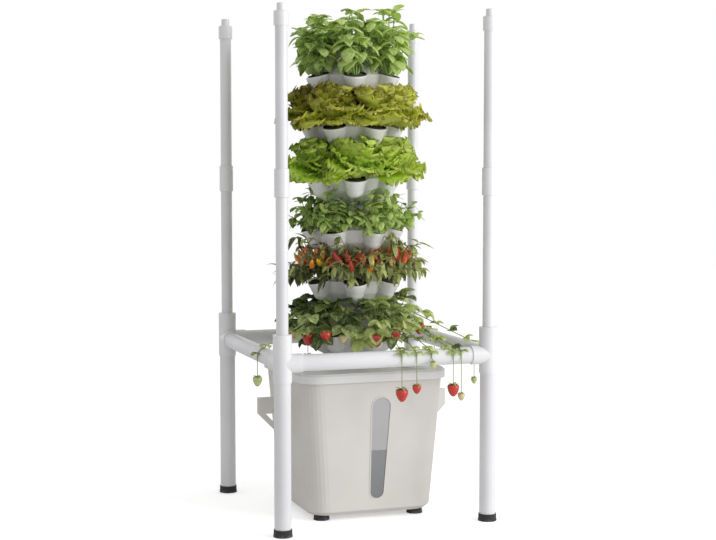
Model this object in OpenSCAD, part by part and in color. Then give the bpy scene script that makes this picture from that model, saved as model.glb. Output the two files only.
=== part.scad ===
// Hydroponic tower: a stack of six planted tiers on a water tank, inside a free-standing pipe frame.
// Millimetres. +Z is up, the front is -Y, and the origin is on the floor at the middle of the tower.

/* [Frame] */
// Distance between neighbouring posts, centre to centre
post_spacing = 650; // [620:5:700]
// Height of the tips of the four poles above the floor
frame_height = 1550; // [1530:5:1600]
// Outer diameter of the legs and rails
leg_diameter = 50; // [46:1:52]
// Wall of the legs and rails
leg_wall = 2.5; // [1.5:0.5:4]
// Outer diameter of the thin poles above the rails
pole_diameter = 36; // [32:1:38]
// Wall of the thin poles
pole_wall = 2; // [1.5:0.5:3]
// Height of the axis of the four rails
rail_height = 510; // [500:5:520]
// Height of the top of the corner fittings
fitting_top = 595; // [585:5:605]
// Wall of the corner fittings round the legs and rails
fitting_wall = 3; // [2.5:0.5:4]
// Reach of a fitting's rail socket from the post's axis
socket_reach = 58; // [52:1:66]
// Height of the middle of the pole couplings
coupling_height = 1035; // [1000:5:1070]
// Length of the pole couplings
coupling_length = 83; // [60:1:100]
// Wall of the pole couplings and of the end caps
coupling_wall = 4; // [3:0.5:5]
// Height of the end caps without their tips
cap_height = 42; // [34:1:50]
// Height of the narrow tip on each end cap
tip_height = 22; // [16:1:26]
// Diameter of the narrow tip
tip_diameter = 26; // [22:1:30]
// Height of the rubber feet of the legs
leg_foot_height = 22; // [16:1:30]
// Wall of the rubber feet of the legs
leg_foot_wall = 2.5; // [2:0.5:4]

/* [Tank] */
// Width of the tank at its floor
tank_bottom_width = 400; // [380:5:410]
// Width of the tank at its top
tank_top_width = 462; // [450:2:470]
// Height of the top edge of the tank's wall above the floor
tank_top = 450; // [440:2:452]
// Radius of the tank's upright corners
tank_corner = 62; // [50:1:70]
// Wall of the tank
tank_wall = 4; // [3:0.5:5]
// Height of the tank's rubber feet
tank_foot_height = 18; // [14:1:22]
// Diameter of the tank's rubber feet
tank_foot_diameter = 50; // [40:1:54]
// Distance of the tank's feet from the middle, along each side
tank_foot_offset = 152; // [140:1:156]
// Width of the lid over its rim
lid_width = 480; // [478:1:486]
// Height of the lid's rim band
lid_height = 28; // [24:1:34]
// Plate thickness of the lid
lid_plate = 8; // [5:0.5:10]
// Distance of the fill opening from the middle, along each side
fill_offset = 150; // [145:1:155]
// Diameter of the fill opening in the lid
fill_diameter = 76; // [60:1:80]

/* [Level window] */
// Height of the window's lower end above the tank's underside
window_low = 47; // [40:1:60]
// Height of the window's upper end above the tank's underside
window_high = 362; // [340:1:370]
// Width of the window at its lower end
window_low_width = 43; // [36:1:48]
// Width of the window at its upper end
window_high_width = 59; // [50:1:64]
// Offset of the window's straight left edge from the middle of the front
window_left = -12; // [-20:1:-5]
// Width of the frame round the window
window_frame_width = 4; // [3:0.5:6]

/* [Side handles] */
// Reach of each handle from the tank's wall at its top
handle_reach = 86; // [70:1:90]
// Height of the handle's top above the floor
handle_top = 361; // [350:1:370]
// Height of the whole handle along the wall
handle_drop = 150; // [135:1:165]
// Thickness of the handle plate, front to back
handle_plate = 22; // [18:1:26]
// Height of the solid bridge at the top of the handle
handle_bridge = 50; // [40:1:56]
// Thickness of the handle's grip bar
handle_bar = 16; // [12:1:18]

/* [Tower] */
// Number of tiers
tier_count = 6; // [4:1:6]
// Height from one tier to the next
tier_pitch = 159; // [157:1:162]
// Height of the first tier's underside above the floor
tower_bottom = 480; // [478:1:484]
// Height of the port rims above their tier's underside
rim_height = 84; // [80:1:88]
// Radius of the circle that the rim centres lie on
port_circle = 123; // [120:1:126]
// Number of ports in each tier
port_count = 6; // [5:1:6]
// Outer radius of a port at its rim
port_radius = 37; // [36:0.5:38]
// Outward lean of the ports in degrees
port_lean = 15; // [12:1:18]
// Outer radius of the tier's neck
neck_radius = 59; // [57:1:61]
// Outer radius of the tier's belly between the ports
belly_radius = 116; // [112:1:118]
// Wall of the tiers
tier_wall = 3; // [2.5:0.5:3.5]
// Turn of the first tier about the upright axis in degrees
tower_turn = 15; // [0:5:30]
// Depth of a net cup below its lip
cup_depth = 50; // [46:1:52]
// Wall of the net cups
cup_wall = 1.5; // [1.2:0.1:2]
// Width of the flange that carries the tower, past its neck
flange_overhang = 22; // [18:1:26]
// Room between the shower plate's rim and the ceiling of the tower's cap
cap_headroom = 8; // [6:1:14]
// Radius of the knob on the tower's cap
cap_knob_radius = 14; // [12:1:18]
// Height of the knob over that ceiling
cap_knob_height = 17; // [15:1:22]

/* [Pump] */
// Outer radius of the pump housing
pump_radius = 42; // [38:1:46]
// Height of the pump housing
pump_height = 64; // [60:1:70]
// Radius of the impeller
impeller_radius = 24; // [20:1:26]
// Number of impeller blades
blade_count = 5; // [4:1:7]
// Outer radius of the riser pipe
riser_radius = 9; // [8:0.5:11]

/* [Hanging fruit] */
// Radius of the fruit stems
stem_radius = 1.8; // [1.5:0.1:2.5]

/* [Fits] */
// Radial clearance where a pipe is pushed into a fitting
push_fit = 0.1; // [0.1:0.05:0.2]
// Gap between a loose piece and its seat
seat_gap = 0.3; // [0.3:0.1:0.5]
// Radial running clearance of the impeller on its shaft
running_fit = 0.05; // [0.03:0.01:0.1]

/* [Hidden] */
$fn = 48;
hull_fn = 32;
sides = [[-1, -1], [1, -1], [-1, 1], [1, 1]];
side_names = ["front_left", "front_right", "rear_left", "rear_right"];
rail_names = ["front", "right", "rear", "left"];
half_post = post_spacing / 2;
leg_radius = leg_diameter / 2;
pole_radius = pole_diameter / 2;
fitting_radius = leg_radius + fitting_wall;
leg_stop = rail_height - leg_radius;
pole_shelf = 5;
pole_stop = rail_height + leg_radius + pole_shelf;
leg_sole = 4;
cap_plate = 4;
cap_bottom = frame_height - tip_height - cap_height;
pole_top = cap_bottom + cap_height - cap_plate;
coupling_rib = 2;
sleeve_radius = pole_radius + coupling_wall;

tank_base = tank_foot_height;
tank_rise = tank_top - tank_base;
wall_lean = atan((tank_top_width - tank_bottom_width) / 2 / tank_rise);
tank_edge = 12;
lid_top = tank_top + lid_plate;
lid_low = lid_top - lid_height;
lid_lip = 3.5;
lid_step = 5;
lid_corner = tank_corner + 8;
floor_top = tank_base + tank_wall;
drain_radius = neck_radius - 14;

tower_top = tower_bottom + tier_count * tier_pitch;
spigot_radius = neck_radius - 4;
spigot_height = 10;
tower_bore = spigot_radius - tier_wall;
cup_lip = 2;
cup_radius = port_radius - tier_wall - 2 * seat_gap;
cup_foot_radius = 19;
riser_wall = 1.5;
riser_overrun = 2;
shower_rim = 2.5;
pump_base = floor_top;
chamber_low = pump_base + 12;
chamber_high = chamber_low + 18;
shaft_radius = 3;
shaft_sole = 4;
tip_gap = 3;
pump_top = pump_base + pump_height;
socket_depth = 16;

white = [0.93, 0.93, 0.93];
warm_white = [0.87, 0.86, 0.83];
black = [0.08, 0.08, 0.08];
leaf_colours = [
    [0.36, 0.62, 0.16], [0.47, 0.36, 0.16], [0.45, 0.70, 0.18],
    [0.24, 0.48, 0.16], [0.22, 0.34, 0.18], [0.20, 0.42, 0.18]
];

function nodes_of(stem, names) = [for (n = names) str(stem, "_", n)];
tier_numbers = [for (i = [1 : tier_count]) str(i)];

// General shapes

module tube(radius, wall, low, high) {
    translate([0, 0, low]) difference() {
        cylinder(r = radius, h = high - low);
        translate([0, 0, -1]) cylinder(r = radius - wall, h = high - low + 2);
    }
}

module at_post(side) {
    translate([side[0] * half_post, side[1] * half_post, 0]) children();
}

// Closed skin over a stack of rings of n points each, with a point in the middle of each end
module ring_skin(points, ends, n) {
    rows = len(points) / n - 1;
    low = len(points);
    faces = concat(
        [for (k = [0 : rows - 1]) for (i = [0 : n - 1])
            let (j = (i + 1) % n) [k * n + i, (k + 1) * n + i, (k + 1) * n + j]],
        [for (k = [0 : rows - 1]) for (i = [0 : n - 1])
            let (j = (i + 1) % n) [k * n + i, (k + 1) * n + j, k * n + j]],
        [for (i = [0 : n - 1]) [low, i, (i + 1) % n]],
        [for (i = [0 : n - 1]) [low + 1, rows * n + (i + 1) % n, rows * n + i]]
    );
    polyhedron(points = concat(points, ends), faces = faces);
}

function unit(v) = v / norm(v);

// A round rod swept along a path that never runs along X
module rod(path, radius, n = 8) {
    last = len(path) - 1;
    rings = [for (k = [0 : last])
        let (
            heading = unit(path[min(k + 1, last)] - path[max(k - 1, 0)]),
            across = unit(cross(heading, [1, 0, 0])),
            up = cross(heading, across)
        ) for (i = [0 : n - 1])
            path[k] + radius * (cos(360 * i / n) * across + sin(360 * i / n) * up)];
    ring_skin(rings, [path[0], path[last]], n);
}

// A square with round corners
module rounded_square(width, corner) {
    inner = width - 2 * corner;
    square([width, inner], center = true);
    square([inner, width], center = true);
    for (side = sides) translate(side * inner / 2) circle(r = corner);
}

// Frame

module leg(side) {
    color(white) at_post(side) tube(leg_radius, leg_wall, leg_sole, leg_stop);
}

// A rubber cup under each leg, with a thicker ring at the floor
module leg_feet() {
    outer = leg_radius + leg_foot_wall;
    color(black) for (side = sides) at_post(side) difference() {
        union() {
            cylinder(r = outer, h = leg_foot_height);
            cylinder(r = outer + 1, h = leg_sole + 2);
        }
        translate([0, 0, leg_sole]) cylinder(r = leg_radius + push_fit, h = leg_foot_height);
    }
}

// The three-way fitting takes the leg from below, the thin pole from above and two rails
module corner_fitting(side) {
    drop = socket_reach - fitting_wall;
    color(white) at_post(side) difference() {
        union() {
            translate([0, 0, rail_height - drop])
                cylinder(r = fitting_radius, h = fitting_top - rail_height + drop);
            translate([0, 0, rail_height]) for (turn = socket_turns(side)) rotate([0, 90, turn])
                cylinder(r = fitting_radius, h = socket_reach);
        }
        translate([0, 0, rail_height - drop - 1])
            cylinder(r = leg_radius + push_fit, h = leg_stop - rail_height + drop + 1);
        translate([0, 0, pole_stop])
            cylinder(r = pole_radius + push_fit, h = fitting_top - pole_stop + 1);
        translate([0, 0, rail_height]) for (turn = socket_turns(side)) rotate([0, 90, turn])
            translate([0, 0, fitting_radius]) cylinder(r = leg_radius + push_fit, h = socket_reach);
    }
}

// Directions of a fitting's two sockets, towards its neighbours
function socket_turns(side) = [side[0] < 0 ? 0 : 180, side[1] < 0 ? 90 : -90];

module rail(turn) {
    length = post_spacing - 2 * fitting_radius;
    color(white) rotate(turn) translate([-length / 2, -half_post, rail_height]) rotate([0, 90, 0])
        tube(leg_radius, leg_wall, 0, length);
}

module lower_pole(side) {
    color(white) at_post(side)
        tube(pole_radius, pole_wall, pole_stop, coupling_height - coupling_rib / 2);
}

module upper_pole(side) {
    color(white) at_post(side)
        tube(pole_radius, pole_wall, coupling_height + coupling_rib / 2, pole_top);
}

// A sleeve with an inner rib that both poles stop against
module pole_couplings() {
    half = coupling_length / 2;
    bore = pole_radius + push_fit;
    chamfer = 1.5;
    rib_bore = pole_radius - pole_wall;
    rib = coupling_rib / 2;
    color(white) for (side = sides) at_post(side) translate([0, 0, coupling_height])
        rotate_extrude() polygon([
            [bore, -half], [sleeve_radius - chamfer, -half], [sleeve_radius, chamfer - half],
            [sleeve_radius, half - chamfer], [sleeve_radius - chamfer, half], [bore, half],
            [bore, rib], [rib_bore, rib], [rib_bore, -rib], [bore, -rib]
        ]);
}

module pole_caps() {
    bore = pole_radius + push_fit;
    tip = tip_diameter / 2;
    chamfer = 2;
    color(white) for (side = sides) at_post(side) translate([0, 0, cap_bottom])
        rotate_extrude() polygon([
            [bore, 0], [sleeve_radius, 0], [sleeve_radius, cap_height - chamfer],
            [sleeve_radius - chamfer, cap_height], [tip, cap_height],
            [tip, cap_height + tip_height - chamfer], [tip - chamfer, cap_height + tip_height],
            [0, cap_height + tip_height], [0, cap_height - cap_plate], [bore, cap_height - cap_plate]
        ]);
}

// Tank

// One level of a rounded square, used as a slice of the tank's skins
module slice(width, corner, height) {
    reach = width / 2 - corner;
    for (side = sides) translate([side[0] * reach, side[1] * reach, height])
        cylinder(r = corner, h = 0.01, $fn = hull_fn);
}

function tank_width(height) =
    tank_bottom_width + (tank_top_width - tank_bottom_width) * (height - tank_base) / tank_rise;

module tank_skin(inset, low, high) {
    corner = tank_corner - inset;
    hull() {
        slice(tank_width(low) - 2 * (inset + tank_edge), corner - tank_edge / 2, low);
        slice(tank_width(low + tank_edge) - 2 * inset, corner, low + tank_edge);
        slice(tank_width(high) - 2 * inset, corner, high - 0.01);
    }
}

module tank() {
    color(warm_white) difference() {
        union() {
            tank_skin(0, tank_base, tank_top);
            for (turn = [0, 180]) rotate(turn) side_handle();
        }
        tank_skin(tank_wall, floor_top, tank_top + 1);
        on_front_wall() window_prism(0, -2, tank_wall + 2);
        on_front_wall() window_prism(window_frame_width, -2, tank_wall / 2);
    }
}

// A plate that widens upwards from the wall, with a finger slot behind its grip bar
module side_handle() {
    low = handle_top - handle_drop;
    wall_low = tank_width(low) / 2 - tank_wall / 2;
    wall_top = tank_width(handle_top) / 2 - tank_wall / 2;
    outer = tank_width(handle_top) / 2 + handle_reach;
    bridge_low = handle_top - handle_bridge;
    slot_inner = tank_width(bridge_low) / 2 + 2;
    slot_share = 0.55;
    slot_low = bridge_low - (bridge_low - low) * slot_share;
    slant = (outer - wall_low) / (bridge_low - low);
    slot_outer = outer - handle_bar * sqrt(1 + slant * slant);
    translate([0, handle_plate / 2, 0]) rotate([90, 0, 0]) linear_extrude(handle_plate)
        difference() {
            polygon([
                [-wall_low, low], [-wall_top, handle_top], [-outer, handle_top], [-outer, bridge_low]
            ]);
            polygon([
                [-slot_inner, bridge_low], [-slot_outer, bridge_low],
                [-slot_outer + slant * (bridge_low - slot_low), slot_low],
                [-slot_inner, slot_low]
            ]);
        }
}

module on_front_wall() {
    translate([0, -tank_bottom_width / 2, tank_base]) rotate([wall_lean, 0, 0]) children();
}

// The window outline grown by a margin, from one depth of the wall to another
module window_prism(margin, outside, inside) {
    translate([0, inside, 0]) rotate([90, 0, 0]) linear_extrude(inside - outside)
        window_outline(margin);
}

module window_outline(margin) {
    low = window_low_width / 2;
    high = window_high_width / 2;
    low_y = window_low + low;
    high_y = window_high - high;
    translate([window_left + low, low_y]) circle(r = low + margin);
    translate([window_left + high, high_y]) circle(r = high + margin);
    polygon([
        [window_left - margin, low_y], [window_left + 2 * low + margin, low_y],
        [window_left + 2 * high + margin, high_y], [window_left - margin, high_y]
    ]);
}

module level_window() {
    color([0.68, 0.68, 0.68]) on_front_wall()
        window_prism(-seat_gap, 1, tank_wall - seat_gap);
}

module window_frame() {
    color(warm_white) on_front_wall() difference() {
        window_prism(window_frame_width - seat_gap, -1, tank_wall / 2);
        window_prism(0, -2, tank_wall);
    }
}

module tank_feet() {
    taper = 2;
    foot = tank_foot_diameter / 2;
    color(black) for (side = sides) translate(side * tank_foot_offset) rotate_extrude()
        polygon([[0, 0], [foot, 0], [foot - taper, tank_foot_height], [0, tank_foot_height]]);
}

// The lid overhangs the tank's wall with a stepped rim, a drain hole and a fill opening
module tank_lid() {
    pocket = lid_width - 2 * lid_lip;
    color(white) difference() {
        union() {
            translate([0, 0, lid_low]) linear_extrude(lid_height - lid_step)
                rounded_square(lid_width, lid_corner);
            translate([0, 0, lid_low]) linear_extrude(lid_height)
                rounded_square(lid_width - 2 * lid_step, lid_corner - lid_step);
        }
        translate([0, 0, lid_low - 1]) linear_extrude(tank_top - lid_low + 1)
            rounded_square(pocket, lid_corner - lid_lip);
        translate([0, 0, tank_top - 1]) cylinder(r = drain_radius, h = lid_plate + 2);
        translate([fill_offset, -fill_offset, tank_top - 1])
            cylinder(r = fill_diameter / 2, h = lid_plate + 2);
    }
}

// A lift-out plug with a finger bar across its dished top
module fill_cap() {
    opening = fill_diameter / 2;
    rim = opening + 7;
    rim_top = 5.5;
    chamfer = 2;
    plug_depth = lid_plate + 6;
    dish_depth = 4;
    dish_radius = opening - 10;
    bar_width = 8;
    bar_height = 8;
    color(white) translate([fill_offset, -fill_offset, lid_top]) {
        rotate_extrude() polygon([
            [0, -plug_depth], [opening - 4, -plug_depth], [opening - seat_gap, -lid_plate],
            [opening - seat_gap, 0], [rim, 0], [rim, rim_top - chamfer],
            [rim - chamfer, rim_top], [dish_radius + 4, rim_top],
            [dish_radius, -dish_depth], [0, -dish_depth]
        ]);
        translate([-dish_radius - 2, -bar_width / 2, -dish_depth - 1])
            cube([2 * dish_radius + 4, bar_width, dish_depth + 1 + bar_height]);
    }
}

// Pump and riser

module pump_housing() {
    collar_height = 18;
    collar_wall = 7;
    slot_width = 10;
    slot_height = 12;
    slot_low = chamber_low + 3;
    color(black) difference() {
        union() {
            translate([0, 0, pump_base]) cylinder(r = pump_radius, h = pump_height - collar_height);
            translate([0, 0, pump_base]) cylinder(r = riser_radius + collar_wall, h = pump_height);
        }
        translate([0, 0, chamber_low])
            cylinder(r = impeller_radius + tip_gap, h = chamber_high - chamber_low);
        for (turn = [30 : 60 : 330]) rotate(turn)
            translate([impeller_radius, -slot_width / 2, slot_low])
                cube([pump_radius, slot_width, slot_height]);
        translate([0, 0, chamber_high - 1]) cylinder(r = riser_radius - tip_gap, h = pump_height);
        translate([0, 0, pump_top - socket_depth])
            cylinder(r = riser_radius + push_fit, h = socket_depth + 1);
        translate([0, 0, pump_base + shaft_sole])
            cylinder(r = shaft_radius + push_fit, h = pump_height / 2);
    }
}

module pump_shaft() {
    color("silver") translate([0, 0, pump_base + shaft_sole])
        cylinder(r = shaft_radius, h = chamber_high - pump_base - shaft_sole + 1);
}

// A hub with a back plate and straight blades
module pump_impeller() {
    low = chamber_low + 2;
    high = chamber_high - 2;
    hub = 8;
    plate = 2;
    blade = 2;
    color("dimgray") difference() {
        union() {
            translate([0, 0, low]) cylinder(r = hub, h = high - low);
            translate([0, 0, low]) cylinder(r = impeller_radius, h = plate);
            for (turn = [0 : 360 / blade_count : 359]) rotate(turn)
                translate([hub / 2 + 1, -blade / 2, low + plate / 2])
                    cube([impeller_radius - hub / 2 - 2, blade, high - low - 2 * plate]);
        }
        translate([0, 0, low - 1]) cylinder(r = shaft_radius + running_fit, h = high - low + 2);
    }
}

module riser_pipe() {
    color(white) tube(riser_radius, riser_wall, pump_top - socket_depth, tower_top + riser_overrun);
}

// Tower

// The flange that carries the tower on the lid, with a spigot for the first tier
module tower_base() {
    flange = neck_radius + flange_overhang;
    flange_plate = 4;
    drain = drain_radius - seat_gap;
    collar_low = lid_top - 12;
    shoulder = lid_top + 14;
    color(white) rotate_extrude() polygon([
        [drain - tier_wall, collar_low], [drain, collar_low], [drain, lid_top],
        [flange, lid_top], [flange, lid_top + flange_plate],
        [flange - 3, lid_top + flange_plate + 2], [neck_radius + 6, lid_top + 2 * flange_plate],
        [neck_radius, shoulder], [neck_radius, tower_bottom],
        [spigot_radius, tower_bottom], [spigot_radius, tower_bottom + spigot_height],
        [tower_bore, tower_bottom + spigot_height], [tower_bore, shoulder],
        [drain - tier_wall, lid_top + flange_plate]
    ]);
}

// Turn of a port about the upright axis: every other tier is turned by half a port
function port_turn(tier, port) =
    -90 + (tier % 2 == 1 ? tower_turn : -tower_turn) + port * 360 / port_count;

function rim_level(tier) = tower_bottom + (tier - 1) * tier_pitch + rim_height;

// Places its children in a port: origin at the rim's centre, +X outwards, +Z along the port
module in_port(turn, level) {
    rotate(turn) translate([port_circle, 0, level]) rotate([0, port_lean, 0]) children();
}

// Outer radius of a tier at a height: it swells up to the rims and draws in above them
function tier_radius(z, inset) =
    z < rim_height
        ? neck_radius + (belly_radius - neck_radius) * sin(90 * z / rim_height) - inset
        : belly_radius - inset
            - (belly_radius - neck_radius) * sin(90 * (z - rim_height) / (tier_pitch - rim_height));

tier_steps = [0, 0.12, 0.3, 0.55, 1];
shoulder_steps = [0.15, 0.35, 0.6, 1];

function tier_outline(inset) = concat(
    [for (t = tier_steps) [tier_radius(t * rim_height, inset), t * rim_height]],
    [for (t = shoulder_steps)
        let (z = rim_height + t * (tier_pitch - rim_height)) [tier_radius(z, inset), z]]
);

module tier(number) {
    niche_height = 90;
    skin_overlap = 8;
    level = tower_bottom + (number - 1) * tier_pitch;
    turns = [for (p = [0 : port_count - 1]) port_turn(number, p)];
    color(white) translate([0, 0, level]) difference() {
        union() {
            rotate_extrude() polygon(concat([[0, 0]], tier_outline(0), [
                [spigot_radius, tier_pitch], [spigot_radius, tier_pitch + spigot_height],
                [0, tier_pitch + spigot_height]
            ]));
            for (turn = turns) port_body(turn);
        }
        difference() {
            rotate_extrude() polygon(tier_cavity());
            for (turn = turns) in_port(turn, rim_height) translate([0, 0, -skin_overlap])
                cylinder(r = port_radius + tier_wall, h = niche_height);
        }
        for (turn = turns) in_port(turn, rim_height) {
            translate([0, 0, -cup_depth - 2])
                cylinder(r1 = cup_foot_radius + 1, r2 = port_radius - tier_wall, h = cup_depth + 2);
            translate([0, 0, -0.01]) cylinder(r = port_radius + seat_gap, h = niche_height - 10);
        }
    }
}

function tier_cavity() = concat(
    [[0, -1], [spigot_radius + push_fit, -1], [spigot_radius + push_fit, spigot_height + 0.5]],
    [for (p = tier_outline(tier_wall))
        if (p[1] > spigot_height + 1 && p[0] > tower_bore && p[1] < tier_pitch) p],
    [[tower_bore, tier_pitch - 6], [tower_bore, tier_pitch + spigot_height + 1],
     [0, tier_pitch + spigot_height + 1]]
);

// A port's skin: a short cup at the rim that runs down into the tier in a scoop
module port_body(turn) {
    knee = 34;
    knee_radius = 29;
    end_radius = 12;
    scoop = 50;
    scoop_turn = 28;
    band = 5;
    in_port(turn, rim_height) {
        translate([0, 0, -knee]) cylinder(r1 = knee_radius, r2 = port_radius, h = knee - band);
        translate([0, 0, -band]) cylinder(r = port_radius, h = band);
        translate([0, 0, -knee]) sphere(r = knee_radius);
        translate([0, 0, -knee]) rotate([0, 180 + scoop_turn, 0]) {
            cylinder(r1 = knee_radius, r2 = end_radius, h = scoop);
            translate([0, 0, scoop]) sphere(r = end_radius);
        }
    }
}

// Net cups with a lip on the port's rim and slots for the roots
module net_cups(number) {
    slot_width = 4;
    slot_low = 8;
    slot_high = 10;
    color(black) for (p = [0 : port_count - 1])
        in_port(port_turn(number, p), rim_level(number)) difference() {
            rotate_extrude() polygon([
                [0, -cup_depth], [cup_foot_radius, -cup_depth], [cup_radius, -1], [cup_radius, 0],
                [port_radius - 1, 0], [port_radius - 1, cup_lip], [cup_radius - cup_wall, cup_lip],
                [cup_radius - cup_wall, -1], [cup_foot_radius - cup_wall, cup_wall - cup_depth],
                [0, cup_wall - cup_depth]
            ]);
            for (turn = [0 : 45 : 135]) rotate(turn)
                translate([-port_radius, -slot_width / 2, slot_low - cup_depth])
                    cube([2 * port_radius, slot_width, cup_depth - slot_low - slot_high]);
        }
}

// Plants: each is a closed crown over a plug that fills its net cup

// A ring is [height, shift outwards, half depth, half width, depth of the lobes]
plug_rings = [
    [cup_wall + seat_gap - cup_depth, 0, 17, 17, 0], [-2, 0, 30.5, 30.5, 0], [3, 1, 20, 20, 0]
];
crowns = [
    [[18, 3, 36, 42, 0.1], [48, 8, 56, 62, 0.1], [110, 2, 54, 66, 0.12], [172, -16, 48, 58, 0.14],
     [214, -32, 24, 30, 0.1]],
    [[14, 4, 34, 38, 0.1], [32, 22, 50, 64, 0.12], [68, 18, 54, 72, 0.12], [100, 8, 44, 60, 0.14],
     [128, 0, 16, 26, 0.1]],
    [[14, 4, 34, 38, 0.1], [32, 22, 50, 64, 0.1], [66, 18, 46, 70, 0.12], [96, 8, 40, 56, 0.14],
     [118, 0, 14, 22, 0.1]],
    [[14, 4, 34, 38, 0.1], [34, 20, 50, 62, 0.1], [70, 14, 52, 68, 0.12], [104, 6, 40, 56, 0.14],
     [128, 0, 14, 22, 0.1]],
    [[14, 4, 32, 34, 0.1], [34, 20, 48, 60, 0.12], [66, 20, 58, 70, 0.14], [98, 12, 42, 56, 0.14],
     [126, 0, 12, 18, 0.1]],
    [[14, 4, 34, 38, 0.1], [30, 24, 50, 66, 0.12], [62, 20, 52, 72, 0.12], [98, 8, 42, 56, 0.14],
     [128, 0, 14, 22, 0.1]]
];
plant_sides = 16;
plant_lobes = 4;

function ring_point(ring, phase, i) =
    let (a = 360 * i / plant_sides, r = 1 + ring[4] * cos(plant_lobes * a + phase))
    [ring[1] + ring[2] * r * cos(a), ring[3] * r * sin(a), ring[0]];

module crown(rings, phase) {
    points = [for (ring = rings) for (i = [0 : plant_sides - 1]) ring_point(ring, phase, i)];
    top = rings[len(rings) - 1];
    ring_skin(points, [[0, 0, rings[0][0]], [top[1], 0, top[0] + 4]], plant_sides);
}

// Crown number 0 belongs to the top tier
module plants(number) {
    rings = concat(plug_rings, crowns[tier_count - number]);
    color(leaf_colours[tier_count - number]) for (p = [0 : port_count - 1])
        in_port(port_turn(number, p), rim_level(number)) crown(rings, p * 67 + number * 31);
}

// Fruit that hangs over the rails: [turn of the rail, place along it, height, fruit radius]
fruits = [
    [0, 36, 406, 17], [0, 83, 421, 12], [0, 200, 413, 16], [0, 226, 391, 10], [90, -152, 407, 9],
    [90, 190, 415, 13], [180, 40, 425, 17], [270, 148, 437, 13]
];
crown_reach = port_circle + 53;
stem_start_height = rim_level(1) + 62;
stem_wrap = leg_radius + seat_gap + stem_radius;
hang_reach = half_post + stem_wrap;
stem_spread = 0.5;

// Where a stem leaves the nearest crown: from its middle towards the place where it crosses the rail
function stem_turn(goal) =
    let (step = 360 / port_count, first = port_turn(1, 0))
    let (crown = first + step * round((goal - first) / step))
    crown + stem_spread * (goal - crown);

// The stem leaves the crown in a straight line, bends over the rail and hangs down
module hanging_fruit() {
    color([0.75, 0.1, 0.1]) for (f = fruits) rotate(f[0]) {
        fruit_stem(f[0], f[1], f[2]);
        translate([f[1], -hang_reach, f[2]]) berry(f[3]);
    }
}

module fruit_stem(rail_turn, along, fruit_height) {
    heading = stem_turn(rail_turn - 90 + atan2(along, half_post)) - rail_turn;
    start = [crown_reach * cos(heading), crown_reach * sin(heading), stem_start_height];
    run = [half_post + start[1], start[2] - rail_height];
    touch = atan2(run[1], run[0]) + acos(stem_wrap / norm(run));
    axis = [along, -half_post, rail_height];
    bend = [for (t = [0 : 0.25 : 1])
        let (a = touch + t * (180 - touch)) axis + stem_wrap * [0, cos(a), sin(a)]];
    hang = [along, -hang_reach, fruit_height];
    rod(concat([start], bend, [hang]), stem_radius);
}

// A strawberry: a cone with a round shoulder and tip
module berry(radius) {
    rotate_extrude() polygon([
        [0, -1.25 * radius], [0.45 * radius, -1.1 * radius], [0.85 * radius, -0.5 * radius],
        [radius, 0.05 * radius], [0.85 * radius, 0.55 * radius], [0.4 * radius, 0.8 * radius],
        [0, 0.85 * radius]
    ]);
}

// The shower plate spreads the pumped water over the tower's inside
module shower_plate() {
    bore = riser_radius + push_fit;
    hub = riser_radius + 5;
    hub_depth = 12;
    plate_low = 4;
    plate_high = 7;
    rim = tower_bore - seat_gap;
    rim_wall = 4;
    hole_circle = 34;
    hole_radius = 3;
    color(white) translate([0, 0, tower_top]) difference() {
        rotate_extrude() polygon([
            [0, riser_overrun], [bore, riser_overrun], [bore, -hub_depth], [hub, -hub_depth],
            [hub, plate_low], [rim, plate_low], [rim, spigot_height],
            [spigot_radius, spigot_height], [spigot_radius, spigot_height + shower_rim],
            [tower_bore - rim_wall, spigot_height + shower_rim],
            [tower_bore - rim_wall, plate_high], [0, plate_high]
        ]);
        for (turn = [0 : 30 : 330]) rotate(turn) translate([hole_circle, 0, 0])
            cylinder(r = hole_radius, h = 2 * plate_high);
        translate([0, 0, riser_overrun - 1])
            cylinder(r = riser_radius - riser_wall, h = 2 * plate_high);
    }
}

// A domed cap that lifts off the top tier
module top_cap() {
    ceiling = spigot_height + shower_rim + cap_headroom;
    bore = spigot_radius + seat_gap;
    knob = cap_knob_radius;
    knob_low = ceiling + 7;
    knob_high = ceiling + cap_knob_height;
    color(white) translate([0, 0, tower_top]) rotate_extrude() polygon([
        [bore, 0], [neck_radius, 0], [neck_radius, ceiling - 4], [neck_radius - 6, ceiling],
        [neck_radius * 0.6, ceiling + 5], [knob, knob_low], [knob, knob_high - 3],
        [knob - 4, knob_high], [0, knob_high], [0, ceiling], [bore - 8, ceiling - 3],
        [bore, ceiling - 8]
    ]);
}

for (i = [0 : 3]) {
    leg(sides[i]);
    corner_fitting(sides[i]);
    lower_pole(sides[i]);
    upper_pole(sides[i]);
    rail(90 * i);
}
for (i = [1 : tier_count]) {
    tier(i);
    net_cups(i);
    plants(i);
}
leg_feet();
pole_couplings();
pole_caps();
tank();
tank_feet();
tank_lid();
fill_cap();
level_window();
window_frame();
pump_housing();
pump_shaft();
pump_impeller();
riser_pipe();
tower_base();
hanging_fruit();
shower_plate();
top_cap();
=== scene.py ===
import math
import random
import bpy
from mathutils import Matrix, Vector


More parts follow.
